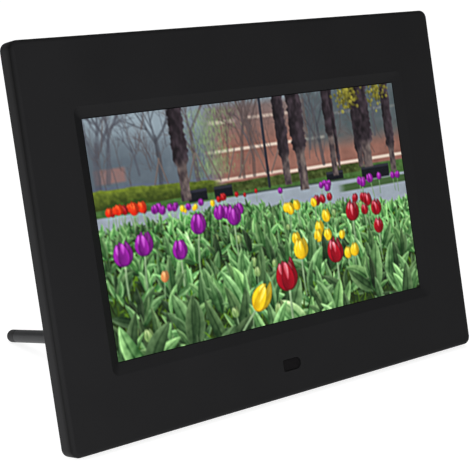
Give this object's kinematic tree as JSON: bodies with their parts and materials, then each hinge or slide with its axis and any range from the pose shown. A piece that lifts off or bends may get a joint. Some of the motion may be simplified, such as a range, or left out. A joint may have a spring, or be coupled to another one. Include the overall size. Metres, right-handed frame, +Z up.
{
  "type": "digital photo frame",
  "caption": "Digital photo frame: wide black surround, bevelled display, remote-control window, rear keys and side sockets, leaning back on a stand rod that screws into its back.",
  "frame": {"origin": "on the surface it stands on, under the centre of the outline", "axes": "+X to the right seen from the front, +Y towards the back and the rod's foot, +Z up"},
  "size_m": [0.204, 0.1318, 0.1424],
  "materials": {
    "surround": "fine satin moulded black",
    "cover": "spark-eroded matt black",
    "dark_lens": "gloss infrared filter",
    "display": "satin anti-glare film",
    "clear_acrylic": "clear polished",
    "lamp_board": "white solder mask",
    "sheet_steel": "tinned",
    "flat_cable": "polyimide film",
    "white_plastic": "satin",
    "foam": "open-cell foam",
    "circuit_board": "green solder mask",
    "chip": "moulded epoxy",
    "ferrite": "sintered grey",
    "bright_steel": "nickel plated",
    "can_aluminium": "bare",
    "black_plastic": "satin",
    "speaker": "paper cone and steel basket",
    "lead": "satin insulation",
    "brass": "turned",
    "rod": "dark grey satin",
    "rubber": "matt",
    "black_screw": "black oxide",
    "key": "satin",
    "plunger": "satin"
  },
  "bodies": {
    "frame": {"backlight_tray": "sheet_steel", "board_screws": "bright_steel", "capacitors": "can_aluminium", "card_socket": "bright_steel", "case_screws": "black_screw", "cell_holder": "black_plastic", "coin_cell": "bright_steel", "crystal": "bright_steel", "dc_jack": "black_plastic", "display_glass": "display", "flash_chip": "chip", "flex_connector": "white_plastic", "foam_pads": "foam", "front_frame": "surround", "headphone_jack": "black_plastic", "inductors": "ferrite", "ir_board": "circuit_board", "ir_lead": "lead", "ir_receiver": "dark_lens", "ir_window": "dark_lens", "key_board": "circuit_board", "key_board_screws": "bright_steel", "key_cable": "flat_cable", "key_switches": "black_plastic", "landscape_socket": "brass", "lcd_flex": "flat_cable", "lead_connectors": "white_plastic", "led_strip": "lamp_board", "light_guide": "clear_acrylic", "main_board": "circuit_board", "memory_chip": "chip", "portrait_socket": "brass", "power_chip": "chip", "processor_chip": "chip", "rear_cover": "cover", "speaker_lead_left": "lead", "speaker_lead_right": "lead", "speaker_left": "speaker", "speaker_right": "speaker", "usb_socket": "bright_steel"},
    "foot": {"rod_foot": "rubber"},
    "rod": {"stand_rod": "rod", "stand_stud": "bright_steel"},
    "key_right": {"key_right": "key", "plunger_right": "plunger"},
    "key_left": {"key_left": "key", "plunger_left": "plunger"},
    "key_down": {"key_down": "key", "plunger_down": "plunger"},
    "key_up": {"key_up": "key", "plunger_up": "plunger"},
    "key_exit": {"key_exit": "key", "plunger_exit": "plunger"},
    "key_menu": {"key_menu": "key", "plunger_menu": "plunger"},
    "key_power": {"key_power": "key", "plunger_power": "plunger"}
  },
  "joints": [
    {"name": "rod_travel", "type": "slide", "parent": "frame", "child": "foot", "axis": [0, 0.9724, -0.2334], "range_m": [0, 0.0077]},
    {"name": "rod_turn", "type": "hinge", "parent": "foot", "child": "rod", "pos_m": [-0.05, -0.04024, 0.0276], "axis": [0, 0.9724, -0.2334], "range_deg": [0, 3961]},
    {"name": "press_right", "type": "slide", "parent": "frame", "child": "key_right", "axis": [0, -0.9724, 0.2334], "range_m": [0, 0.0005], "stiffness_N_per_m": 1500},
    {"name": "press_left", "type": "slide", "parent": "frame", "child": "key_left", "axis": [0, -0.9724, 0.2334], "range_m": [0, 0.0005], "stiffness_N_per_m": 1500},
    {"name": "press_down", "type": "slide", "parent": "frame", "child": "key_down", "axis": [0, -0.9724, 0.2334], "range_m": [0, 0.0005], "stiffness_N_per_m": 1500},
    {"name": "press_up", "type": "slide", "parent": "frame", "child": "key_up", "axis": [0, -0.9724, 0.2334], "range_m": [0, 0.0005], "stiffness_N_per_m": 1500},
    {"name": "press_exit", "type": "slide", "parent": "frame", "child": "key_exit", "axis": [0, -0.9724, 0.2334], "range_m": [0, 0.0005], "stiffness_N_per_m": 1500},
    {"name": "press_menu", "type": "slide", "parent": "frame", "child": "key_menu", "axis": [0, -0.9724, 0.2334], "range_m": [0, 0.0005], "stiffness_N_per_m": 1500},
    {"name": "press_power", "type": "slide", "parent": "frame", "child": "key_power", "axis": [0, -0.9724, 0.2334], "range_m": [0, 0.0005], "stiffness_N_per_m": 1500}
  ],
  "couplings": [
    {"joint": "rod_turn", "follows": "rod_travel", "rad_per_m": 8976}
  ]
}
